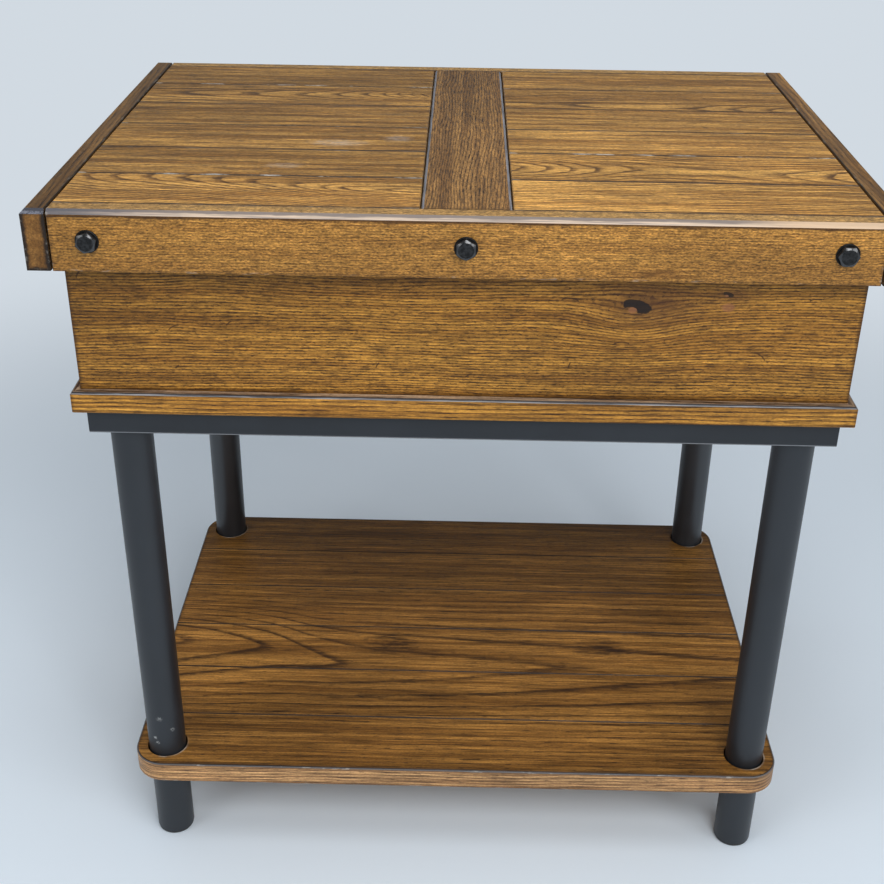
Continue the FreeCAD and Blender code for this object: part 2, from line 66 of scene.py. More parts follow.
def vector_calc(tree, operation, a, b):
    return put(tree, "ShaderNodeVectorMath", {0: a, 1: b}, operation=operation).outputs[0]


def fade(tree, value, start, end, low=0.0, high=1.0):
    """Smooth step from low to high as the value goes from start to end."""
    inputs = {"Value": value, "From Min": start, "From Max": end, "To Min": low, "To Max": high}
    return put(tree, "ShaderNodeMapRange", inputs, interpolation_type="SMOOTHSTEP").outputs[0]


def noise(tree, vector, stretch, detail=2.0, roughness=0.5):
    """Noise whose lumps per metre differ along the three axes; most of it lies inside NOISE_SPAN."""
    place = vector_calc(tree, "MULTIPLY", vector, stretch)
    inputs = {"Vector": place, "Scale": 1.0, "Detail": detail, "Roughness": roughness}
    return put(tree, "ShaderNodeTexNoise", inputs).outputs[0]


def blend(tree, factor, a, b, how="MIX"):
    """Mix two colours."""
    mix = put(tree, "ShaderNodeMix", {0: factor, 6: a, 7: b}, data_type="RGBA", blend_type=how)
    return mix.outputs[2]


def scaled(tree, value, share):
    return calc(tree, "MULTIPLY", value, share)


def colour(red, green, blue):
    return (red, green, blue, 1.0)


def new_group(name, inputs, outputs):
    """Start a node group; inputs and outputs are (name, kind) pairs."""
    tree = bpy.data.node_groups.new(name, "ShaderNodeTree")
    for direction, sockets in (("INPUT", inputs), ("OUTPUT", outputs)):
        for label, kind in sockets:
            tree.interface.new_socket(label, in_out=direction, socket_type="NodeSocket" + kind)
    source = tree.nodes.new("NodeGroupInput").outputs
    sink = tree.nodes.new("NodeGroupOutput").inputs
    return tree, source, sink


def place_group(tree, group, inputs):
    return put(tree, "ShaderNodeGroup", inputs, node_tree=group).outputs


def new_material(name):
    """Empty material with a Principled shader, and its tree."""
    material = bpy.data.materials.new(name)
    material.use_nodes = True
    tree = material.node_tree
    return material, tree, tree.nodes["Principled BSDF"]


def object_place(tree):
    """Position in the table's own frame, which goes with the piece when it moves."""
    return tree.nodes.new("ShaderNodeTexCoord").outputs["Object"]


print("helpers ready")

# %% [markdown]
# ## Oak figure
# A board shows its year rings where the saw cut through them. Painting lines would do for one face, but
# the figure would not run round the edge on to the end grain. So the group works out the tree itself: the
# way from each point to the heart of the trunk, cut into rings. A heart close under the face gives pointed
# arches, and a heart far to one side gives straight grain. The arch value sets how sharp the points are: at 2
# the rings are true circles with blunt points, and a lower value draws the points out. Pores, fibres and
# cloudy stain come on top.


# %% Oak figure group
def build_oak_figure():
    values = ("Seed", "Heart Across", "Heart Below", "Heart Slope", "Heart Fade", "Ring Width", "Crowding",
              "Early Share", "Wander", "Pore Cover", "Pore Rate", "Arch")
    inputs = [("Vector", "Vector")] + [(label, "Float") for label in values]
    outputs = [(label, "Float") for label in ("Ring", "Pore", "Fibre", "Streak", "Cloud", "Grit")]
    tree, source, sink = new_group("Oak Figure", inputs, outputs)
    shift = put(tree, "ShaderNodeCombineXYZ", {0: source["Seed"], 1: source["Seed"], 2: source["Seed"]})
    place = vector_calc(tree, "ADD", source["Vector"], shift.outputs[0])
    along, across, depth = put(tree, "ShaderNodeSeparateXYZ", {0: source["Vector"]}).outputs

    def swing(stretch, width, share):
        centred = calc(tree, "SUBTRACT", noise(tree, place, stretch, 2), 0.5)
        return calc(tree, "MULTIPLY", centred, calc(tree, "MULTIPLY", width, share))

    def lumps(rate, width):
        run = scaled(tree, source["Pore Rate"], rate)
        return put(tree, "ShaderNodeCombineXYZ", {0: run, 1: width, 2: width}).outputs[0]

    def power(value, exponent):
        return calc(tree, "POWER", calc(tree, "ABSOLUTE", value), exponent)

    drift = swing((4.5, 16, 16), source["Wander"], 2.0)
    heave = swing((5.5, 7, 7), source["Wander"], 1.2)
    ripple = swing((26, 150, 150), calc(tree, "MINIMUM", source["Ring Width"], 0.004), 0.5)
    side = calc(tree, "ADD", calc(tree, "SUBTRACT", across, source["Heart Across"]), drift)
    rise = calc(tree, "ADD", calc(tree, "MULTIPLY", along, source["Heart Slope"]), heave)
    under = calc(tree, "ADD", calc(tree, "ADD", source["Heart Below"], rise), depth)
    aside = calc(tree, "DIVIDE", side, source["Heart Fade"])
    straight = calc(tree, "EXPONENT", scaled(tree, calc(tree, "MULTIPLY", aside, aside), -0.5))
    under = calc(tree, "MULTIPLY", under, straight)
    arch = source["Arch"]
    radius = power(calc(tree, "ADD", power(side, arch), power(under, arch)), calc(tree, "DIVIDE", 1.0, arch))
    reach = calc(tree, "ADD", radius, ripple)
    crowd = calc(tree, "MULTIPLY", calc(tree, "MULTIPLY", radius, radius), source["Crowding"])
    crowded = calc(tree, "ADD", reach, crowd)
    count = calc(tree, "DIVIDE", crowded, source["Ring Width"])
    phase = calc(tree, "FRACT", count)
    fall = fade(tree, phase, 0.0, source["Early Share"], 1.0, 0.0)
    climb = fade(tree, phase, 0.9, 1.0)
    year = put(tree, "ShaderNodeTexWhiteNoise", {"W": calc(tree, "ROUND", count)}, noise_dimensions="1D")
    strength = fade(tree, year.outputs["Value"], 0.0, 1.0, 0.75, 1.0)
    fibre = noise(tree, place, lumps(0.55, 560), 3, 0.7)
    broken = fade(tree, noise(tree, place, lumps(0.85, 420), 2, 0.6), 0.36, 0.56, 0.65, 1.0)
    ring = calc(tree, "MAXIMUM", fall, climb)
    ring = calc(tree, "MULTIPLY", ring, calc(tree, "MULTIPLY", strength, broken))

    start = calc(tree, "SUBTRACT", 0.70, scaled(tree, source["Pore Cover"], 0.2))
    end = calc(tree, "ADD", start, 0.05)
    pores = []
    for rate, width in ((1.0, 700.0), (3.2, 1000.0)):
        pores.append(fade(tree, noise(tree, place, lumps(rate, width), 1), start, end))
    open_wood = fade(tree, ring, 0.0, 0.6, 0.5, 1.0)
    pore = calc(tree, "MULTIPLY", calc(tree, "MAXIMUM", pores[0], pores[1]), open_wood)
    tree.links.new(ring, sink["Ring"])
    tree.links.new(pore, sink["Pore"])
    tree.links.new(fibre, sink["Fibre"])
    tree.links.new(fade(tree, noise(tree, place, (4, 130, 130), 3, 0.6), 0.36, 0.66), sink["Streak"])
    tree.links.new(noise(tree, place, (4, 14, 14), 2), sink["Cloud"])
    tree.links.new(noise(tree, place, (420, 900, 900), 1), sink["Grit"])
    return tree


oak_figure = build_oak_figure()
print(oak_figure.name, len(oak_figure.nodes), "nodes")

# %% [markdown]
# ## Edges of a board
# Stain gathers along the edges of a board and hands rub it away again. On a face of a box one of the
# three ways to the box's sides is nothing, so the middle one of the three is the way to the nearest edge.
# Chamfers are told by their slant, because their normal lies along none of the three axes. A chamfer
# towards a gap stays dark, and one on the outside is painted pale, partly for wear and partly as a painted
# reflection of the sky in the lacquer, with a dark line of stain left under it.
# End grain has its normal along the grain, and takes up the stain from further in.


# %% Board edge group
def build_board_edge():
    inputs = [(label, "Vector") for label in ("Vector", "Low", "High", "Board", "Grain", "Gap Side")]
    inputs += [(label, "Float") for label in ("Crest Depth", "Stain Reach", "End Reach", "End Facet",
                                             "Chamfer")]
    masks = ("Stain", "Rub", "Facet", "Wear And Reflection", "Crest", "Patch", "End", "Ledge", "Under")
    outputs = [(label, "Float") for label in masks]
    tree, source, sink = new_group("Board Edge", inputs, outputs)
    normal = tree.nodes.new("ShaderNodeNewGeometry").outputs["True Normal"]

    def facing(way):
        dot = put(tree, "ShaderNodeVectorMath", {0: normal, 1: way}, operation="DOT_PRODUCT")
        return dot.outputs["Value"]

    along_grain = calc(tree, "ABSOLUTE", facing(source["Grain"]))
    end_face = fade(tree, along_grain, 0.8, 0.95)
    tree.links.new(end_face, sink["End"])
    from_low = vector_calc(tree, "SUBTRACT", source["Vector"], source["Low"])
    from_high = vector_calc(tree, "SUBTRACT", source["High"], source["Vector"])
    ways = vector_calc(tree, "MINIMUM", from_low, from_high)
    x, y, z = put(tree, "ShaderNodeSeparateXYZ", {0: ways}).outputs
    small = calc(tree, "MINIMUM", x, y)
    large = calc(tree, "MAXIMUM", x, y)
    middle = calc(tree, "MAXIMUM", small, calc(tree, "MINIMUM", large, z))
    rough = noise(tree, source["Board"], (22, 90, 90), 3, 0.65)
    stain_reach = fade(tree, end_face, 0.0, 1.0, source["Stain Reach"], source["End Reach"])
    uneven = calc(tree, "SUBTRACT", middle, calc(tree, "MULTIPLY", rough, stain_reach))
    tree.links.new(fade(tree, uneven, -0.0018, 0.0016, 1.0, 0.0), sink["Stain"])
    below_top = put(tree, "ShaderNodeSeparateXYZ", {0: from_high}).outputs[2]
    crest = calc(tree, "DIVIDE", below_top, source["Crest Depth"])
    crest = calc(tree, "ADD", crest, scaled(tree, calc(tree, "SUBTRACT", rough, 0.5), 1.6))
    tree.links.new(fade(tree, crest, 0.8, 1.2, 1.0, 0.0), sink["Crest"])
    flecks = fade(tree, noise(tree, source["Board"], (60, 260, 260), 3, 0.65), 0.55, 0.65)
    near = fade(tree, middle, 0.0006, 0.0024, 1.0, 0.0)
    tree.links.new(calc(tree, "MULTIPLY", flecks, near), sink["Rub"])

    tilt = vector_calc(tree, "ABSOLUTE", normal, (0, 0, 0))
    a, b, c = put(tree, "ShaderNodeSeparateXYZ", {0: tilt}).outputs
    largest = calc(tree, "MAXIMUM", calc(tree, "MAXIMUM", a, b), c)
    slanted = fade(tree, largest, 0.8, 0.97, 1.0, 0.0)
    kept = fade(tree, along_grain, 0.3, 0.6, 1.0, source["End Facet"])
    tree.links.new(calc(tree, "MULTIPLY", slanted, kept), sink["Facet"])
    # Outer upward chamfers; the tones put there are partly wear and partly a painted reflection of the sky.
    outside = fade(tree, facing(source["Gap Side"]), 0.2, 0.4, 1.0, 0.0)
    lifted = fade(tree, facing((0, 0, 1)), 0.2, 0.4)
    tree.links.new(calc(tree, "MULTIPLY", slanted, calc(tree, "MULTIPLY", outside, lifted)), sink["Wear And Reflection"])
    patches = noise(tree, source["Board"], (22, 1000, 1000), 3, 0.6)
    tree.links.new(fade(tree, patches, 0.32, 0.62), sink["Patch"])
    ledge = fade(tree, facing((0, 0, 1)), 0.9, 0.97)
    tree.links.new(ledge, sink["Ledge"])
    upright = fade(tree, calc(tree, "ADD", slanted, ledge), 0.1, 0.5, 1.0, 0.0)
    down = calc(tree, "SUBTRACT", below_top, source["Chamfer"])
    down = calc(tree, "SUBTRACT", down, scaled(tree, calc(tree, "SUBTRACT", rough, 0.5), 0.004))
    tree.links.new(calc(tree, "MULTIPLY", upright, fade(tree, down, 0.0011, 0.0027, 1.0, 0.0)), sink["Under"])
    return tree


board_edge = build_board_edge()
print(board_edge.name, len(board_edge.nodes), "nodes")

# %% [markdown]
# ## Knots
# A branch that the saw cut across leaves a dark crescent in a reddish halo, and the grain parts to flow
# round it. The group bends the board coordinates round the knot before the rings are worked out, so the
# rings and pores bend with it. The crescent is a leaning oval with a smaller one cut out of its lower left,
# where the reddish heart of the branch shows.


# %% Knot group
def build_knot():
    inputs = [("Vector", "Vector")] + [(label, "Float") for label in ("Along", "Across", "Size", "Sag")]
    outputs = [("Vector", "Vector"), ("Dark", "Float"), ("Heart", "Float"), ("Halo", "Float")]
    tree, source, sink = new_group("Knot", inputs, outputs)
    along, across, depth = put(tree, "ShaderNodeSeparateXYZ", {0: source["Vector"]}).outputs
    wobble = noise(tree, source["Vector"], (260, 260, 260), 3)
    wobble = scaled(tree, calc(tree, "SUBTRACT", wobble, 0.5), 0.6)
    u = calc(tree, "DIVIDE", calc(tree, "SUBTRACT", along, source["Along"]), source["Size"])
    v = calc(tree, "DIVIDE", calc(tree, "SUBTRACT", across, source["Across"]), source["Size"])

    def oval(centre, radii, height=v):
        a = calc(tree, "DIVIDE", calc(tree, "SUBTRACT", u, centre[0]), radii[0])
        b = calc(tree, "DIVIDE", calc(tree, "SUBTRACT", height, centre[1]), radii[1])
        return calc(tree, "ADD", calc(tree, "MULTIPLY", a, a), calc(tree, "MULTIPLY", b, b))

    pull = calc(tree, "EXPONENT", scaled(tree, oval((-0.2, -0.6), (3.4, 2.6)), -1.0))
    below = calc(tree, "SUBTRACT", v, 0.7)
    side = calc(tree, "DIVIDE", below, calc(tree, "ADD", calc(tree, "ABSOLUTE", below), 1.4))
    sag = calc(tree, "MULTIPLY", source["Sag"], scaled(tree, source["Size"], -1.0))
    push = calc(tree, "MULTIPLY", calc(tree, "MULTIPLY", pull, side), sag)
    bent = {0: along, 1: calc(tree, "ADD", across, push), 2: depth}
    tree.links.new(put(tree, "ShaderNodeCombineXYZ", bent).outputs[0], sink["Vector"])
    leaning = calc(tree, "ADD", v, scaled(tree, u, 0.19))
    outer = calc(tree, "ADD", oval((0, 0), (1.05, 0.5), leaning), wobble)
    inner = calc(tree, "ADD", oval((-0.42, -0.4), (0.5, 0.36)), wobble)
    body = fade(tree, outer, 0.8, 1.0, 1.0, 0.0)
    body = calc(tree, "MULTIPLY", body, fade(tree, u, -0.94, -0.86))
    tree.links.new(calc(tree, "MULTIPLY", body, fade(tree, inner, 0.9, 1.1)), sink["Dark"])
    tree.links.new(fade(tree, oval((-0.26, -0.28), (0.32, 0.24)), 0.4, 1.2, 1.0, 0.0), sink["Heart"])
    halo = calc(tree, "EXPONENT", scaled(tree, oval((0.9, 0.15), (3.6, 1.7)), -1.0))
    tree.links.new(halo, sink["Halo"])
    return tree


knot_group = build_knot()
print(knot_group.name, len(knot_group.nodes), "nodes")

# %% [markdown]
# ## Tool marks
# New furniture of this style is dented and scratched on purpose. Each mark is a short stroke at a chance
# angle. A Voronoi texture scatters the middles of the strokes and gives each its own random colour, and
# that colour sets the stroke's angle and whether it is there at all.


# %% Tool mark group
def build_tool_marks():
    inputs = [("Vector", "Vector"), ("Share", "Float")]
    tree, source, sink = new_group("Tool Marks", inputs, [("Mark", "Float")])
    cells = put(tree, "ShaderNodeTexVoronoi", {"Vector": source["Vector"], "Scale": 26.0},
                voronoi_dimensions="2D").outputs
    local = vector_calc(tree, "SUBTRACT", source["Vector"], cells["Position"])
    x, y = put(tree, "ShaderNodeSeparateXYZ", {0: local}).outputs[:2]
    chance, tilt, size = put(tree, "ShaderNodeSeparateColor", {0: cells["Color"]}).outputs
    angle = calc(tree, "MULTIPLY", calc(tree, "SUBTRACT", tilt, 0.5), 2.6)
    cosine = calc(tree, "COSINE", angle)
    sine = calc(tree, "SINE", angle)
    run = calc(tree, "ADD", calc(tree, "MULTIPLY", x, cosine), calc(tree, "MULTIPLY", y, sine))
    off = calc(tree, "SUBTRACT", calc(tree, "MULTIPLY", y, cosine), calc(tree, "MULTIPLY", x, sine))
    bow = calc(tree, "MULTIPLY", calc(tree, "MULTIPLY", run, run), 45.0)
    thin = fade(tree, calc(tree, "ABSOLUTE", calc(tree, "ADD", off, bow)), 0.0003, 0.0008, 1.0, 0.0)
    half = calc(tree, "ADD", 0.002, calc(tree, "MULTIPLY", size, 0.005))
    short = calc(tree, "LESS_THAN", calc(tree, "ABSOLUTE", run), half)
    there = calc(tree, "LESS_THAN", chance, source["Share"])
    tree.links.new(calc(tree, "MULTIPLY", calc(tree, "MULTIPLY", thin, short), there), sink["Mark"])
    return tree


tool_marks = build_tool_marks()
print(tool_marks.name, len(tool_marks.nodes), "nodes")

# %% [markdown]
# ## Scuffs
# Use has left pale marks: a scrape on the lid, flecks along its seams, chips in the shelf's edge and rubs on
# a leg. Each has its own place and reach, and a noise breaks it into strokes. In a dark tone the same group
# makes smears of stain. One group serves the wood and the metal, so a mark goes where the photograph has it
# without an object of its own.


# %% Scuff group
def build_scuff():
    inputs = [(label, "Vector") for label in ("Vector", "Centre", "Reach", "Stroke")]
    tree, source, sink = new_group("Scuff", inputs, [("Mask", "Float")])
    away = vector_calc(tree, "SUBTRACT", source["Vector"], source["Centre"])
    away = vector_calc(tree, "DIVIDE", away, source["Reach"])
    square = put(tree, "ShaderNodeVectorMath", {0: away, 1: away}, operation="DOT_PRODUCT").outputs["Value"]
    body = calc(tree, "EXPONENT", scaled(tree, square, -1.0))
    strokes = noise(tree, source["Vector"], source["Stroke"], 3, 0.65)
    tree.links.new(fade(tree, calc(tree, "MULTIPLY", body, strokes), 0.34, 0.58), sink["Mask"])
    return tree


def scuff_mask(tree, place, row):
    """Strength of one mark; its row is (centre, reach, stroke, share)."""
    centre, reach, stroke, share = row
    inputs = {"Vector": place, "Centre": centre, "Reach": reach, "Stroke": stroke}
    return scaled(tree, place_group(tree, scuff_group, inputs)["Mask"], share)


scuff_group = build_scuff()
print(scuff_group.name, len(scuff_group.nodes), "nodes")

# %% [markdown]
# ## Stained oak
# Each board of the table was stained, rubbed back and lacquered. The material mixes four tones of the
# same stain: gold where the wood is dense, body in between, dark in the open early rings and nearly
# black in the pores. Every board has its own heart and seed, so no two have the same figure.

# %% Ways of the grain and tones of the stain
ALONG_X_FLAT = (0, 1, 2)
ALONG_X_UPRIGHT = (0, 2, 1)
ALONG_Y_FLAT = (1, 0, 2)
ALONG_Y_UPRIGHT = (1, 2, 0)

GOLDEN = {"gold": colour(0.72, 0.39, 0.099), "body": colour(0.36, 0.172, 0.0375),
          "dark": colour(0.095, 0.039, 0.010), "pore": colour(0.05, 0.021, 0.008)}
AMBER = {"gold": colour(0.485, 0.238, 0.0515), "body": colour(0.40, 0.188, 0.0395),
         "dark": colour(0.10, 0.039, 0.009), "pore": colour(0.05, 0.02, 0.007)}
UMBER = {"gold": colour(0.42, 0.222, 0.070), "body": colour(0.23, 0.115, 0.036),
         "dark": colour(0.055, 0.024, 0.009), "pore": colour(0.032, 0.014, 0.007)}
RUSSET = {"gold": colour(0.56, 0.268, 0.043), "body": colour(0.33, 0.145, 0.021),
          "dark": colour(0.055, 0.021, 0.0055), "pore": colour(0.04, 0.015, 0.005)}
CHESTNUT = {"gold": colour(0.48, 0.228, 0.052), "body": colour(0.24, 0.105, 0.022),
            "dark": colour(0.04, 0.017, 0.007), "pore": colour(0.04, 0.017, 0.006)}
PINKISH = {"gold": colour(0.60, 0.34, 0.145), "body": colour(0.40, 0.21, 0.085),
           "dark": colour(0.13, 0.058, 0.024), "pore": colour(0.09, 0.042, 0.02)}
BARE = {"gold": colour(0.6, 0.44, 0.26), "body": colour(0.5, 0.35, 0.2),
        "dark": colour(0.36, 0.23, 0.12), "pore": colour(0.3, 0.2, 0.11)}
BLEACHED = colour(0.5, 0.46, 0.4)
CHALK = colour(0.62, 0.62, 0.6)
SOOTY = (colour(0.010, 0.009, 0.008), colour(0.02, 0.016, 0.013))
print("gold of the lid", GOLDEN["gold"][:3])


# %% Board coordinates, curves and edges
def board_vector(tree, order, middle, wrap):
    """Board coordinates from the board's middle: along the grain, across it, and into the board."""
    axes = put(tree, "ShaderNodeSeparateXYZ", {0: object_place(tree)}).outputs
    if wrap:
        round_edge = {0: calc(tree, "SUBTRACT", axes[0], axes[1]), 1: axes[2]}
        picked = put(tree, "ShaderNodeCombineXYZ", round_edge).outputs[0]
        return vector_calc(tree, "SUBTRACT", picked, (0, middle[2], 0))
    picked = put(tree, "ShaderNodeCombineXYZ", {i: axes[order[i]] for i in range(3)}).outputs[0]
    return vector_calc(tree, "SUBTRACT", picked, [middle[i] for i in order])


def drawn_curve(tree, value, points, low, high):
    """Curve drawn through given (place, height) points, with heights from low to high."""
    first, last = points[0][0], points[-1][0]
    share = put(tree, "ShaderNodeMapRange", {"Value": value, "From Min": first, "From Max": last}).outputs[0]
    node = put(tree, "ShaderNodeFloatCurve", {"Value": share})
    curve = node.mapping.curves[0]
    while len(curve.points) < len(points):
        curve.points.new(0.5, 0.5)
    for spot, (place, height) in zip(curve.points, points):
        spot.location = ((place - first) / (last - first), (height - low) / (high - low))
    node.mapping.update()
    return calc(tree, "ADD", scaled(tree, node.outputs[0], high - low), low)


def shaded(tree, edge, pair):
    """Two tones of one edge, mixed in patches along it."""
    return blend(tree, edge["Patch"], pair[0], pair[1])


def hole_rim(tree, x, y, radius, width):
    """Broken ring round an upright hole, rubbed on the side towards +X and -Y."""
    place = object_place(tree)
    out = vector_calc(tree, "SUBTRACT", vector_calc(tree, "MULTIPLY", place, (1, 1, 0)), (x, y, 0))
    reach = put(tree, "ShaderNodeVectorMath", {0: out}, operation="LENGTH").outputs["Value"]
    rubbed = put(tree, "ShaderNodeVectorMath", {0: out, 1: (0.7, -0.7, 0)}, operation="DOT_PRODUCT")
    rubbed = fade(tree, rubbed.outputs["Value"], 0.2 * radius, 0.8 * radius)
    broken = fade(tree, noise(tree, place, (90, 90, 90), 2), 0.4, 0.6, 0.25, 1.0)
    ring = fade(tree, reach, radius + 0.6 * width, radius + width, 1.0, 0.0)
    return calc(tree, "MULTIPLY", calc(tree, "MULTIPLY", broken, rubbed), ring)


print("board helpers ready")

# %% Knots, heart and lacquer of a board
HEART_SIDE = (-0.08, 0.08)
HEART_DEPTH = (0.0, 0.08)
LACQUER_ROUGHNESS = (0.36, 0.52)
LACQUER_GLOSS = 0.25
GRAIN_DEPTH = 0.0004


def bend_round_knots(tree, board, knots, start):
    """Board coordinates that flow round the knots, and the masks of each knot."""
    vector = board
    spots = []
    for along, across, size, sag in [row[:4] for row in knots]:
        spot = {"Vector": vector, "Along": along - start[0], "Across": across - start[1], "Size": size,
                "Sag": sag}
        spots.append(place_group(tree, knot_group, spot))
        vector = spots[-1]["Vector"]
    return vector, spots


def crooked_heart(tree, length, path):
    """Place across and depth of a trunk's heart that wanders through the rows of a path."""
    heart_across = drawn_curve(tree, length, [row[:2] for row in path], *HEART_SIDE)
    heart_below = drawn_curve(tree, length, [(row[0], row[2]) for row in path], *HEART_DEPTH)
    return heart_across, heart_below


def lacquer(tree, shader, figure):
    """Satin skin, duller over open fibre, with the pores sunk into it."""
    roughness = fade(tree, figure["Fibre"], 0.3, 0.75, *LACQUER_ROUGHNESS)
    tree.links.new(roughness, shader.inputs["Roughness"])
    height = calc(tree, "SUBTRACT", scaled(tree, figure["Fibre"], 0.3), figure["Pore"])
    bump = put(tree, "ShaderNodeBump", {"Strength": 0.35, "Distance": GRAIN_DEPTH, "Height": height})
    tree.links.new(bump.outputs[0], shader.inputs["Normal"])
    shader.inputs["Specular IOR Level"].default_value = LACQUER_GLOSS


print("grain depth", GRAIN_DEPTH)

# %% Stained oak material
LEDGE_SHARE = 0.8
END_SHARE = 0.9
MARK_SHARE = 0.8
RIM_SHARE = 0.55
KNOT_HEART_SHARE = 0.6
PAINTED_END_REFLECTION_SHARE = 0.85
CALM_RINGS = 0.55
CLOUD_LIGHT = (0.76, 1.16)


def stained_oak(node_name, tones, order, seed, heart, path=None, heart_fade=9.0, ring_width=0.0035,
                crowding=0.0, early=0.5, wander=0.006, ring_share=0.9, pore_cover=0.6, pore_rate=30.0,
                pore_share=0.9, lightness=1.0, boards=None, contrast=0.36, grit=0.14, stain=0.7, rub=0.0,
                stain_reach=0.004, end_reach=0.004, open_ends=0.0, end_facet=1.0, gap_side=(0, 0, 0),
                facet=None, facet_share=0.85, wear_and_reflection=None, painted_end_reflections=(), crest_depth=0.0018, chamfer=0.0,
                under=0.0, end=None, ledge=None, knots=(), marks=0.0, arch=1.45,
                smears=(), scuffs=(), rims=(), path_rest=None, wrap=False):
    """Oak for one board; heart is (across, below, slope) of the trunk's middle in board coordinates.

    A path of (place along, across, below) rows takes the heart's place where the trunk was crooked; with a
    path_rest, the lines away from the path straighten to that place across. A wrapped strip has its grain
    run on round its corners.
    """
    material, tree, shader = new_material("oak " + node_name)
    low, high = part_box(node_name)
    middle = [(a + b) / 2 for a, b in zip(low, high)]
    board = board_vector(tree, order, middle, wrap)
    along, across = put(tree, "ShaderNodeSeparateXYZ", {0: board}).outputs[:2]
    start = [middle[axis] for axis in order[:2]]
    vector, spots = bend_round_knots(tree, board, knots, start)
    heart_across, heart_below = heart[:2]
    ring_strength = ring_share
    if path:
        heart_across, heart_below = crooked_heart(tree, calc(tree, "ADD", along, start[0]), path)
    if path_rest is not None:
        aside = calc(tree, "DIVIDE", calc(tree, "SUBTRACT", across, heart_across), 0.8 * heart_fade)
        near = calc(tree, "EXPONENT", scaled(tree, calc(tree, "MULTIPLY", aside, aside), -0.5))
        bend = calc(tree, "MULTIPLY", calc(tree, "SUBTRACT", heart_across, path_rest), near)
        heart_across = calc(tree, "ADD", bend, path_rest)
        ring_strength = fade(tree, near, 0.0, 0.8, CALM_RINGS * ring_share, ring_share)
    figure = place_group(tree, oak_figure, {
        "Vector": vector, "Seed": seed, "Heart Across": heart_across, "Heart Below": heart_below,
        "Heart Slope": heart[2], "Heart Fade": heart_fade, "Ring Width": ring_width, "Crowding": crowding,
        "Early Share": early, "Wander": wander, "Pore Cover": pore_cover, "Pore Rate": pore_rate,
        "Arch": arch})
    grain = [1.0 if axis == order[0] else 0.0 for axis in range(3)]
    edge = place_group(tree, board_edge, {
        "Vector": object_place(tree), "Low": [a - open_ends * g for a, g in zip(low, grain)],
        "High": [b + open_ends * g for b, g in zip(high, grain)], "Board": board, "Grain": grain,
        "Gap Side": gap_side, "Crest Depth": crest_depth, "Stain Reach": stain_reach, "End Reach": end_reach,
        "End Facet": end_facet, "Chamfer": chamfer})

    wood = blend(tree, figure["Streak"], tones["body"], tones["gold"])
    if ledge:
        wood = blend(tree, scaled(tree, edge["Ledge"], LEDGE_SHARE), wood, ledge)
    wood = blend(tree, scaled(tree, figure["Ring"], ring_strength), wood, tones["dark"])
    wood = blend(tree, scaled(tree, figure["Pore"], pore_share), wood, tones["pore"])
    if end:
        end_tone = blend(tree, figure["Streak"], end[0], end[1])
        wood = blend(tree, scaled(tree, edge["End"], END_SHARE), wood, end_tone)
    fine = fade(tree, figure["Fibre"], *NOISE_SPAN, lightness * (1 - contrast), lightness * (1 + contrast))
    cloud = fade(tree, figure["Cloud"], *NOISE_SPAN, *CLOUD_LIGHT)
    speckle = fade(tree, figure["Grit"], *NOISE_SPAN, 1 - grit, 1 + grit)
    light = calc(tree, "MULTIPLY", calc(tree, "MULTIPLY", fine, speckle), cloud)
    # The drawn curve paints light and shade across the board, such as shade under the lid and a darker back
    # on the shelf.
    if boards:
        light = calc(tree, "MULTIPLY", light, drawn_curve(tree, across, *boards))
    wood = blend(tree, 1.0, wood, light, "MULTIPLY")
    for spot, (dark, halo) in zip(spots, [row[4:] for row in knots]):
        wood = blend(tree, scaled(tree, spot["Halo"], halo), wood, tones["knot"])
        wood = blend(tree, scaled(tree, spot["Heart"], KNOT_HEART_SHARE), wood, tones["knot heart"])
        wood = blend(tree, scaled(tree, spot["Dark"], dark), wood, tones["knot dark"])
    if marks:
        mark = place_group(tree, tool_marks, {"Vector": board, "Share": marks})["Mark"]
        wood = blend(tree, scaled(tree, mark, MARK_SHARE), wood, tones["pore"])
    for row in smears:
        wood = blend(tree, scuff_mask(tree, object_place(tree), row), wood, tones["dark"])
    wood = blend(tree, scaled(tree, edge["Stain"], stain), wood, tones["pore"])
    if under:
        wood = blend(tree, scaled(tree, edge["Under"], under), wood, tones["pore"])
    facet = facet or (tones["pore"], tones["dark"])
    wood = blend(tree, scaled(tree, edge["Facet"], facet_share), wood, shaded(tree, edge, facet))
    # Outer chamfers get tones that are partly wear and partly a painted reflection of the sky in the lacquer;
    # the end tones are painted reflections only.
    if wear_and_reflection:
        wear_and_reflection_tone = blend(tree, edge["Crest"], shaded(tree, edge, wear_and_reflection[:2]), wear_and_reflection[2])
        for tone, first, last in painted_end_reflections:
            wear_and_reflection_tone = blend(tree, fade(tree, along, first, last, 0.0, PAINTED_END_REFLECTION_SHARE), wear_and_reflection_tone, tone)
        wood = blend(tree, edge["Wear And Reflection"], wood, wear_and_reflection_tone)
    if rub:
        wood = blend(tree, scaled(tree, edge["Rub"], rub), wood, BLEACHED)
    for hole in rims:
        wood = blend(tree, scaled(tree, hole_rim(tree, *hole), RIM_SHARE), wood, BLEACHED)
    for row in scuffs:
        wood = blend(tree, scuff_mask(tree, object_place(tree), row), wood, CHALK)
    tree.links.new(wood, shader.inputs["Base Color"])
    lacquer(tree, shader, figure)
    return material


def dress(node_name, material):
    """Give a piece its finish in every slot it has."""
    mesh = nodes[node_name].data
    for i in range(len(mesh.materials)):
        mesh.materials[i] = material


print("stained oak ready")

# %% [markdown]
# ## Planks of the lid
# Two fields of six planks lie either side of a darker board. Some planks were cut near the heart and show
# pointed arches; the rest are straight. Each row gives one plank's seed, heart, lightness and wear. On an
# arched plank a path follows the heart of the trunk, and each ring ends in a point where it meets the path.

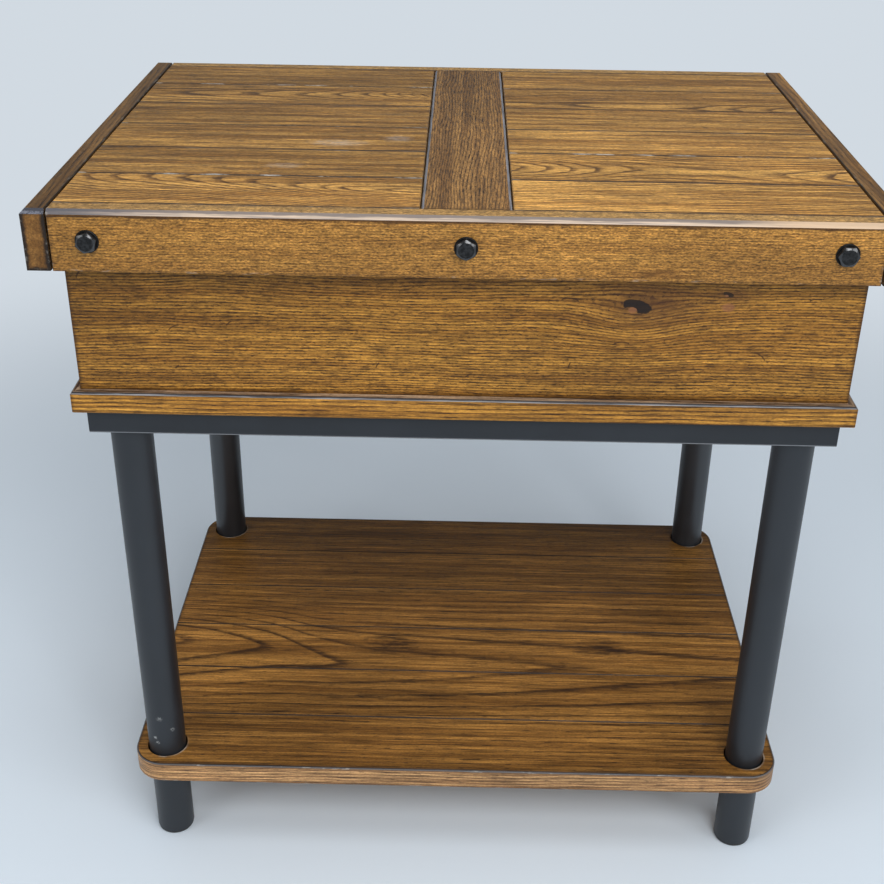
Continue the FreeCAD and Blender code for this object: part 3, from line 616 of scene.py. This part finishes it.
# %% Planks of the lid
LID_TOP = 0.655
# The left field's planks are set darker than the right's partly as painted shade, for the light that fell
# more strongly from the right.
PLANKS = {
    "left_1": (0.3, None, 1.0, 0.2),
    "left_2": (1.7, (0.16, 0.09, 0.012), 0.66, 0.7),
    "left_3": (2.9, (-0.12, 0.05, 0.02), 0.75, 0.1),
    "left_4": (4.1, (0.13, 0.08, 0.01), 0.73, 0.3),
    "left_5": (5.3, None, 0.70, 0.1),
    "left_6": (6.1, (0.18, 0.09, 0.012), 0.68, 0.7),
    "right_1": (7.3, (-0.15, 0.08, 0.015), 1.19, 0.1),
    "right_2": (8.2, None, 1.02, 0.2),
    "right_3": (9.7, (0.15, 0.08, 0.012), 0.95, 0.7),
    "right_4": (10.4, (-0.14, 0.06, 0.02), 0.88, 0.1),
    "right_5": (11.9, None, 0.84, 0.1),
    "right_6": (12.6, (0.16, 0.07, 0.012), 0.8, 0.3),
}
HEART_PATHS = {
    "left_1": ((-0.312, 0.030, 0.036), (-0.276, 0.030, 0.030), (-0.222, 0.029, 0.023), (-0.168, 0.022, 0.016),
               (-0.112, 0.011, 0.009), (-0.096, 0.009, 0.0055), (-0.035, 0.004, 0.0)),
    "left_5": ((-0.312, 0.0, 0.035), (-0.2, 0.002, 0.0295), (-0.128, 0.003, 0.023), (-0.099, 0.005, 0.0195),
               (-0.067, 0.007, 0.0125), (-0.035, 0.007, 0.003)),
    "right_2": ((0.035, -0.005, 0.018), (0.066, -0.005, 0.023), (0.105, -0.006, 0.03),
                (0.136, -0.003, 0.0335), (0.19, -0.008, 0.036), (0.254, -0.014, 0.0335),
                (0.312, -0.015, 0.0275)),
    "right_5": ((0.035, -0.015, 0.0345), (0.096, -0.019, 0.0335), (0.223, -0.028, 0.03),
                (0.252, -0.03, 0.0265), (0.312, -0.03, 0.0205)),
}
FINE_STROKE = (150, 1300, 1300)
SCRAPES = {"left_3": [((-0.11, -0.052, LID_TOP), (0.045, 0.018, 0.01), FINE_STROKE, 0.36),
                      ((-0.06, -0.036, LID_TOP), (0.024, 0.02, 0.01), FINE_STROKE, 0.26)],
           "left_2": [((-0.148, -0.12, LID_TOP), (0.03, 0.014, 0.01), FINE_STROKE, 0.22)]}
FLECK_REACH = (0.02, 0.004, 0.01)
FLECK_SHARE = 0.6
FLECK_OFFSET = 0.0006
SEAM_FLECKS = {"left_2": (-0.148, (-0.237, -0.202, -0.156)), "left_6": (0.148, (-0.254, -0.182, -0.149)),
               "right_3": (-0.074, (0.098, 0.113, 0.15, 0.182))}
for name, (seam, places) in SEAM_FLECKS.items():
    flecks = [((x, seam + FLECK_OFFSET, LID_TOP), FLECK_REACH, FINE_STROKE, FLECK_SHARE) for x in places]
    SCRAPES[name] = SCRAPES.get(name, []) + flecks
for name, (seed, heart, lightness, rub) in PLANKS.items():
    plank = "lid_plank_" + name
    path = HEART_PATHS.get(name)
    dress(plank, stained_oak(plank, GOLDEN, ALONG_X_FLAT, seed, heart or (0, 0, 0), path, lightness=lightness,
                             rub=rub, ring_share=1.0 if path else 0.9, early=0.42 if path else 0.45,
                             wander=0.0024 if path else 0.006, contrast=0.42, grit=0.22, pore_rate=40.0,
                             arch=2.0, facet=SOOTY, facet_share=0.9, open_ends=0.02, end_facet=0.25,
                             scuffs=SCRAPES.get(name, ())))

print(len(PLANKS), "planks dressed")

# %% [markdown]
# ## Boards of the lid
# A frame of four boards stands round the planks, and the darker board crosses between them. The outer
# chamfers are painted pale, partly for the wear of hands and partly as a painted reflection of the sky in the
# lacquer, while those towards the gaps stay black. The wear could be cut as dents, but it is mostly a change
# of colour, so the masks of the edge group pick out each chamfer, and two tones are mixed in patches along
# it. The side boards run through, so their end grain shows at the front.

# %% Boards of the lid
# The grey-blue tones of the centre board's chamfers are a painted reflection of the sky.
dress("lid_centre_board", stained_oak("lid_centre_board", UMBER, ALONG_Y_FLAT, 13.8, (0.3, 0.1, 0.03),
                                      ring_width=0.0024, early=0.4, wander=0.012, pore_cover=0.68,
                                      pore_rate=100.0, lightness=0.87,
                                      facet=(colour(0.10, 0.103, 0.115), colour(0.34, 0.36, 0.41)),
                                      facet_share=1.0, stain=0.3))
LID_CHAMFER = 0.0036
# Front and back chamfer tones: partly wear, partly a painted reflection of the sky. The end tones are painted
# reflections: dark and bluish at the left end, a pale painted highlight at the right.
FRONT_WEAR_AND_REFLECTION = (colour(0.32, 0.262, 0.225), colour(0.62, 0.475, 0.355), colour(0.21, 0.172, 0.15))
FRONT_PAINTED_END_REFLECTIONS = ((colour(0.085, 0.087, 0.105), -0.21, -0.3), (colour(0.62, 0.44, 0.285), 0.19, 0.25))
FRONT_SMEARS = [((0.143, -0.24, 0.6125), (0.06, 0.03, 0.009), (30, 400, 400), 0.7)]
FRONT_LEDGE = colour(0.47, 0.285, 0.1)
# Side chamfer tones: a dark bluish painted reflection of the sky, with some wear.
SIDE_WEAR_AND_REFLECTION = (colour(0.03, 0.032, 0.045), colour(0.17, 0.175, 0.21), colour(0.045, 0.047, 0.06))
for side, seed, gap in (("front", 14.5, 1), ("back", 15.9, -1)):
    board = "lid_board_" + side
    dress(board, stained_oak(board, AMBER, ALONG_X_UPRIGHT, seed, (0.3, 0.1, 0.01), ring_width=0.0019,
                             ring_share=0.5, pore_cover=0.7, pore_rate=150.0, pore_share=0.64, contrast=0.4,
                             grit=0.34, lightness=0.95, stain=0.35, gap_side=(0, gap, 0), wear_and_reflection=FRONT_WEAR_AND_REFLECTION,
                             painted_end_reflections=FRONT_PAINTED_END_REFLECTIONS, chamfer=LID_CHAMFER, under=0.85, facet=SOOTY, rub=0.3,
                             smears=FRONT_SMEARS, ledge=FRONT_LEDGE))
BLACKENED = dict(UMBER, pore=colour(0.012, 0.0085, 0.007))
END_GRAIN = (colour(0.40, 0.175, 0.04), colour(0.62, 0.29, 0.072))
for side, seed, gap, lightness in (("left", 16.7, 1, 0.48), ("right", 17.3, -1, 0.83)):
    board = "lid_board_" + side
    dress(board, stained_oak(board, BLACKENED, ALONG_Y_UPRIGHT, seed, (0.3, 0.1, 0.02), ring_width=0.0028,
                             ring_share=0.6, pore_share=0.6, contrast=0.28, lightness=lightness,
                             gap_side=(gap, 0, 0), wear_and_reflection=SIDE_WEAR_AND_REFLECTION, facet=SOOTY, facet_share=1.0,
                             stain=0.95, stain_reach=0.0015, end_reach=0.006, end=END_GRAIN, rub=0.2))
print("five boards dressed")

# %% [markdown]
# ## Box and moulding
# The box is veneered with the same oak, a little redder, with two knots and a red spot in its front. A knot
# could be an object let into the wall, but then the grain would not flow round it, so it is part of the
# finish. Each wall also darkens towards its top as painted shade under the lid's overhang. The moulding's
# steps are solid, and only the colour of their chamfer is painted: partly wear, partly a painted reflection
# of the sky.

# %% Box and moulding
RUSSET["knot"] = colour(0.082, 0.033, 0.0125)
RUSSET["knot heart"] = colour(0.32, 0.13, 0.06)
RUSSET["knot dark"] = colour(0.012, 0.008, 0.007)
BOX_KNOTS = [(0.133, 0.578, 0.0115, 1.45, 0.95, 0.74), (0.2025, 0.5893, 0.0042, 0.3, 0.85, 0.5),
             (0.208, 0.5838, 0.017, 0.0, 0.0, 0.06)]
# Painted shade: each wall darkens towards its top, where the lid's overhang shades it.
BOX_PAINTED_SHADE_UNDER_LID = (((-0.06, 1.03), (-0.01, 1.02), (0.03, 0.86), (0.06, 0.74)), 0.0, 1.5)
# Moulding chamfer tones: partly wear, partly a painted reflection of the sky, darker along the crest.
STRIP_WEAR_AND_REFLECTION = (colour(0.05, 0.05, 0.055), colour(0.32, 0.32, 0.33), colour(0.035, 0.03, 0.031))
STRIP_LEDGE = colour(0.36, 0.275, 0.2)
for side, order, seed, gap in (("front", ALONG_X_UPRIGHT, 18.4, (0, 1, 0)),
                               ("back", ALONG_X_UPRIGHT, 19.2, (0, -1, 0)),
                               ("left", ALONG_Y_UPRIGHT, 20.6, (1, 0, 0)),
                               ("right", ALONG_Y_UPRIGHT, 21.5, (-1, 0, 0))):
    wall = "box_" + side
    dress(wall, stained_oak(wall, RUSSET, order, seed, (0.25, 0.08, 0.015), ring_width=0.0024, early=0.55,
                            wander=0.008, ring_share=1.0, pore_cover=0.6, pore_rate=100.0, lightness=0.88,
                            contrast=0.36, boards=BOX_PAINTED_SHADE_UNDER_LID,
                            knots=BOX_KNOTS if side == "front" else (), marks=0.26))
    strip = "base_moulding_" + side
    dress(strip, stained_oak(strip, RUSSET, order, seed + 0.4, (0.2, 0.05, 0.02), ring_width=0.0038,
                             ring_share=1.0, early=0.5, wander=0.003, contrast=0.3, lightness=1.2,
                             gap_side=gap, wear_and_reflection=STRIP_WEAR_AND_REFLECTION, crest_depth=0.0009, facet_share=0.0,
                             ledge=STRIP_LEDGE, stain=0.5))

print("four walls and four strips dressed")

# %% [markdown]
# ## Shelf
# The shelf is darker again, and its veneer runs across all the grooves, so one large figure spans the whole
# panel. One path for the heart gives its long arches, and away from the path the rings are drawn weaker and
# straighter. A finish for each board between the grooves would break the arches up. The panels inside the
# lid and the box are bare wood.

# %% Shelf and hidden panels
SHELF_TOP = 0.103
SHELF_PATH = ((-0.31, -0.03, 0.008), (-0.221, -0.037, 0.0252), (-0.117, -0.065, 0.0418),
              (0.0, -0.067, 0.048), (0.109, -0.064, 0.0524), (0.31, -0.058, 0.0605))
# Painted light and shade across the shelf: lighter in the middle, and darker towards the back, where the box
# shades it.
SHELF_PAINTED_LIGHT_AND_SHADE = ((-0.23, 0.88), (-0.15, 0.94), (-0.08, 1.12), (0.02, 1.12), (0.1, 0.83), (0.23, 0.44))
SHELF_PAINTED_SHADING = (SHELF_PAINTED_LIGHT_AND_SHADE, 0.0, 1.5)
HOLE_RADIUS = 0.019
RIM_WIDTH = 0.0016
LEG_X = 0.278
LEG_Y = 0.1925
RIMS = [(x, y, HOLE_RADIUS, RIM_WIDTH) for x in (-LEG_X, LEG_X) for y in (-LEG_Y, LEG_Y)]
LONG_STROKE = (34, 260, 260)
SHELF_SMEARS = [((-0.068, -0.03, SHELF_TOP), (0.052, 0.034, 0.04), LONG_STROKE, 0.9),
                ((0.158, -0.029, SHELF_TOP), (0.058, 0.03, 0.04), LONG_STROKE, 0.9)]
dress("shelf_panel", stained_oak("shelf_panel", CHESTNUT, ALONG_X_FLAT, 22.3, (0.0, 0.0, 0.0),
                                 SHELF_PATH, heart_fade=0.065, ring_width=0.03, crowding=14.0, early=0.26,
                                 wander=0.003, ring_share=0.95, pore_cover=0.6, boards=SHELF_PAINTED_SHADING,
                                 facet=(SOOTY[0], colour(0.04, 0.02, 0.009)), facet_share=1.0, rims=RIMS,
                                 smears=SHELF_SMEARS, path_rest=-0.06))
CHIP_STROKE = (700, 700, 700)
CHIPS = [((-0.2912, -0.2232, 0.1015), (0.005, 0.005, 0.003), CHIP_STROKE, 1.0),
         ((-0.2836, -0.2251, 0.1015), (0.004, 0.005, 0.002), CHIP_STROKE, 0.8)]
# Tones of the band's chamfer: partly wear, partly a painted reflection of the sky, darker along the crest.
BAND_WEAR_AND_REFLECTION = (colour(0.3, 0.31, 0.33), colour(0.6, 0.61, 0.63), colour(0.12, 0.11, 0.11))
dress("shelf_edge_band", stained_oak("shelf_edge_band", PINKISH, ALONG_X_UPRIGHT, 23.1, (0.1, 0.05, 0.02),
                                     contrast=0.5, lightness=1.14, facet_share=0.0, wear_and_reflection=BAND_WEAR_AND_REFLECTION, rub=0.5,
                                     scuffs=CHIPS, wrap=True))
for panel, seed in (("lid_subtop", 24.7), ("box_floor", 25.2)):
    dress(panel, stained_oak(panel, BARE, ALONG_X_FLAT, seed, (0.1, 0.05, 0.06), ring_width=0.012,
                             wander=0.03))
print("shelf, its band and two hidden panels dressed")

# %% [markdown]
# ## Metal, rubber and plastic
# The frame and legs are steel tube under a charcoal powder coat: a matt paint baked on from dust, which
# stays slightly pebbled and cloudy. A plain dark grey would look like plastic. A fine bump breaks up the
# shine, and a slow noise moves the colour and the roughness a little, so a long tube isn't even. The back
# legs are a little glossier than the front ones, which stands in for light that fell on their sides. A pale
# line along the bottom edge of the frame rails is a painted highlight. The bolts and the strut's case are
# darker and smoother, and the lift's plates and pins are bright metal.


# %% Painted metal, rubber and plastic
# Pale line along the frame rails' bottom edge: a painted highlight, where that edge catches the light.
PAINTED_EDGE_HIGHLIGHT = colour(0.22, 0.23, 0.245)
CHARCOAL = colour(0.016, 0.020, 0.026)
COAT_ROUGHNESS = 0.42


def powder_coat(name, base, roughness, gloss=0.5, low_edge=None, scuffs=()):
    """Baked paint; gloss is the share of light that its skin throws back, low_edge the level of a bottom edge
    that gets a painted highlight line.
    """
    material, tree, shader = new_material(name)
    place = object_place(tree)
    pebbles = noise(tree, place, (900, 900, 900), 2)
    cloud = noise(tree, place, (14, 14, 14), 4, 0.6)
    deep = tuple(0.72 * c for c in base[:3]) + (1.0,)
    paint = blend(tree, fade(tree, cloud, *NOISE_SPAN), deep, base)
    if low_edge:
        level = put(tree, "ShaderNodeSeparateXYZ", {0: place}).outputs[2]
        line = fade(tree, level, low_edge + 0.0007, low_edge + 0.0015, 0.9, 0.0)
        paint = blend(tree, line, paint, PAINTED_EDGE_HIGHLIGHT)
    for row in scuffs:
        paint = blend(tree, scuff_mask(tree, place, row), paint, CHALK)
    tree.links.new(paint, shader.inputs["Base Color"])
    cloudy = fade(tree, cloud, *NOISE_SPAN, roughness - 0.06, roughness + 0.06)
    tree.links.new(cloudy, shader.inputs["Roughness"])
    bump = put(tree, "ShaderNodeBump", {"Strength": 0.2, "Distance": 0.0003, "Height": pebbles})
    tree.links.new(bump.outputs[0], shader.inputs["Normal"])
    shader.inputs["Specular IOR Level"].default_value = gloss
    return material


def bolt_finish(seat):
    """Blackened bolt facing -Y: a near-black flange against the seat, and a face with a polished bevel."""
    material, tree, shader = new_material("black bolt")
    place = object_place(tree)
    mottle = fade(tree, noise(tree, place, (420, 420, 420), 3, 0.6), 0.35, 0.65)
    paint = blend(tree, mottle, colour(0.005, 0.0055, 0.006), colour(0.024, 0.025, 0.027))
    depth = put(tree, "ShaderNodeSeparateXYZ", {0: place}).outputs[1]
    proud = fade(tree, depth, seat - 0.0017, seat - 0.0014, 1.0, 0.0)
    normal = tree.nodes.new("ShaderNodeNewGeometry").outputs["True Normal"]
    front = calc(tree, "ABSOLUTE", put(tree, "ShaderNodeSeparateXYZ", {0: normal}).outputs[1])
    bevel = calc(tree, "MULTIPLY", fade(tree, front, 0.6, 0.75), fade(tree, front, 0.93, 0.98, 1.0, 0.0))
    bevel = calc(tree, "MULTIPLY", bevel, proud)
    paint = blend(tree, bevel, paint, colour(0.075, 0.076, 0.078))
    tree.links.new(blend(tree, proud, colour(0.002, 0.002, 0.002), paint), shader.inputs["Base Color"])
    tree.links.new(bevel, shader.inputs["Metallic"])
    tree.links.new(fade(tree, bevel, 0.0, 1.0, 0.42, 0.22), shader.inputs["Roughness"])
    shader.inputs["Specular IOR Level"].default_value = 0.2
    return material


def bright_metal(name, base, roughness):
    material, tree, shader = new_material(name)
    place = object_place(tree)
    brushed = noise(tree, place, (60, 60, 1400), 2)
    worked = fade(tree, brushed, 0.2, 0.8, roughness - 0.08, roughness + 0.1)
    tree.links.new(worked, shader.inputs["Roughness"])
    cloud = noise(tree, place, (40, 40, 40), 3)
    dull = tuple(0.75 * c for c in base[:3]) + (1.0,)
    tree.links.new(blend(tree, cloud, dull, base), shader.inputs["Base Color"])
    shader.inputs["Metallic"].default_value = 1.0
    return material


print("finishes for metal, rubber and plastic ready")

# %% Dress the metal, rubber and plastic
charcoal = powder_coat("charcoal powder coat", CHARCOAL, COAT_ROUGHNESS)
frame_paint = powder_coat("frame powder coat", colour(0.0145, 0.018, 0.0235), COAT_ROUGHNESS, 0.45,
                          low_edge=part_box("frame_rail_front")[0][2])
LEG_RUBS = [((-0.2829, -0.2093, 0.1179), (0.0036, 0.02, 0.0028), CHIP_STROKE, 0.95),
            ((-0.2848, -0.2086, 0.1235), (0.003, 0.02, 0.0032), (800, 800, 800), 0.75),
            ((-0.2786, -0.21, 0.1472), (0.006, 0.02, 0.004), CHIP_STROKE, 0.35),
            ((-0.2939, -0.1999, 0.1276), (0.003, 0.01, 0.01), (700, 700, 300), 0.35),
            ((-0.2683, -0.2071, 0.1326), (0.004, 0.02, 0.004), CHIP_STROKE, 0.3)]
# A glossier copy of the coat on the back legs stands in for light that fell on their sides.
back_leg = powder_coat("back leg powder coat", CHARCOAL, COAT_ROUGHNESS, 0.8)
rubbed_leg = powder_coat("rubbed powder coat", CHARCOAL, COAT_ROUGHNESS, scuffs=LEG_RUBS)
bolt_black = bolt_finish(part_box("lid_board_front")[0][1])
strut_black = powder_coat("strut paint", colour(0.02, 0.02, 0.021), 0.35)
rubber = powder_coat("black rubber", colour(0.025, 0.025, 0.025), 0.7, 0.3)
glide_plastic = powder_coat("glide plastic", colour(0.02, 0.02, 0.02), 0.5)
zinc = bright_metal("zinc plate", colour(0.62, 0.62, 0.6), 0.36)
chrome = bright_metal("polished rod", colour(0.8, 0.8, 0.82), 0.16)
FINISHES = {"black_steel": charcoal, "black_bolt": bolt_black, "strut_case": strut_black, "strut_rod": chrome,
            "zinc_steel": zinc, "bumper": rubber, "glide": glide_plastic}
for entry in frame["record"]["subparts"]:
    if entry["material_slot"] in FINISHES:
        dress(entry["node"], FINISHES[entry["material_slot"]])
for side in ("front", "back", "left", "right"):
    dress("frame_rail_" + side, frame_paint)
dress("leg_front_left", rubbed_leg)
dress("leg_back_left", back_leg)
dress("leg_back_right", back_leg)
print(len(FINISHES), "plain finishes")

# %% [markdown]
# ## Light
# Soft daylight fell on the real table from the front and above, so its lid is bright and its shelf falls
# off into shade at the back. Four large square lamps give that with soft shadows, and painted shade in the
# shelf's colour deepens its back. Their power is set so that a surface facing them renders about as light as
# its colour is written, and a weak blue world fills the shadows as the open sky did. Low down the camera sees
# that world as pale as the floor, and so do reflections, so the floor runs into it without a horizon.

# %% World
world = bpy.data.worlds.new("studio")
scene.world = world
world.use_nodes = True
fill = world.node_tree.nodes["Background"]
fill.inputs["Color"].default_value = colour(0.86, 0.93, 1.0)
fill.inputs["Strength"].default_value = 0.21
PALE = colour(0.64, 0.70, 0.76)


def seen_rays(tree):
    """One for rays from the camera, reflections and glass; zero for the light on the table."""
    rays = tree.nodes.new("ShaderNodeLightPath").outputs
    mirrored = calc(tree, "MAXIMUM", rays["Is Glossy Ray"], rays["Is Transmission Ray"])
    return calc(tree, "MAXIMUM", rays["Is Camera Ray"], mirrored)


sky = world.node_tree
gaze = sky.nodes.new("ShaderNodeTexCoord").outputs["Generated"]
climb = put(sky, "ShaderNodeSeparateXYZ", {0: gaze}).outputs[2]
low_sky = calc(sky, "MULTIPLY", seen_rays(sky), fade(sky, climb, 0.07, 0.14, 1.0, 0.0))
haze = put(sky, "ShaderNodeBackground", {"Color": PALE, "Strength": 1.0})
mixed_sky = put(sky, "ShaderNodeMixShader", {0: low_sky, 1: fill.outputs[0], 2: haze.outputs[0]})
sky.links.new(mixed_sky.outputs[0], sky.nodes["World Output"].inputs["Surface"])
print("world", world.name)


# %% Lamps
def softbox(name, place, aim, size, power):
    lamp = bpy.data.lights.new(name, "AREA")
    lamp.shape = "SQUARE"
    lamp.size = size
    lamp.energy = power
    holder = bpy.data.objects.new(name, lamp)
    scene.collection.objects.link(holder)
    holder.location = place
    way = [a - p for a, p in zip(aim, place)]
    flat = math.hypot(way[0], way[1])
    holder.rotation_euler = (math.atan2(flat, -way[2]), 0, math.atan2(-way[0], way[1]))
    return holder


TABLE_MIDDLE = (0, 0, 0.42)
softbox("overhead", (-0.1, -0.3, 2.5), TABLE_MIDDLE, 1.6, 21)
softbox("front", (0.5, -2.0, 2.1), TABLE_MIDDLE, 1.2, 30)
softbox("left", (-2.0, -1.8, 1.6), TABLE_MIDDLE, 1.2, 12)
softbox("right", (2.0, -1.8, 1.6), TABLE_MIDDLE, 1.2, 17)
print("four lamps")

# %% [markdown]
# ## Floor and camera
# The floor is plain and pale and takes the table's shadow. The lamps don't reach far behind the table, where
# a plain floor would turn grey, so away from the table the camera sees the floor's own pale colour instead.
# The camera stands where the photograph's was, worked out from the table's edges in the picture.

# %% Floor
FLOOR_SIZE = 24
GLOW_START = 0.7
GLOW_FULL = 1.6
bpy.ops.mesh.primitive_plane_add(size=FLOOR_SIZE)
floor = bpy.context.object
floor.name = "floor"
floor_material, floor_tree, floor_shader = new_material("pale floor")
floor_shader.inputs["Base Color"].default_value = colour(0.81, 0.90, 0.99)
floor_shader.inputs["Roughness"].default_value = 0.7
floor_place = object_place(floor_tree)
away = put(floor_tree, "ShaderNodeVectorMath", {0: floor_place}, operation="LENGTH").outputs["Value"]
far = fade(floor_tree, away, GLOW_START, GLOW_FULL)
glow = put(floor_tree, "ShaderNodeEmission", {"Color": PALE, "Strength": 1.0})
plain = put(floor_tree, "ShaderNodeMixShader", {0: calc(floor_tree, "MULTIPLY", far, seen_rays(floor_tree)),
                                                1: floor_shader.outputs[0], 2: glow.outputs[0]})
floor_tree.links.new(plain.outputs[0], floor_tree.nodes["Material Output"].inputs["Surface"])
floor.data.materials.append(floor_material)
print("floor", FLOOR_SIZE, "m")

# %% Camera
lens = bpy.data.cameras.new("camera")
lens.sensor_width = 36
lens.lens = 53.44
camera = bpy.data.objects.new("camera", lens)
scene.collection.objects.link(camera)
camera.location = (-0.0041, -1.1621, 0.9719)
camera.rotation_euler = [math.radians(turn) for turn in (61.293, -0.686, 1.112)]
scene.camera = camera
print("camera at", tuple(camera.location))
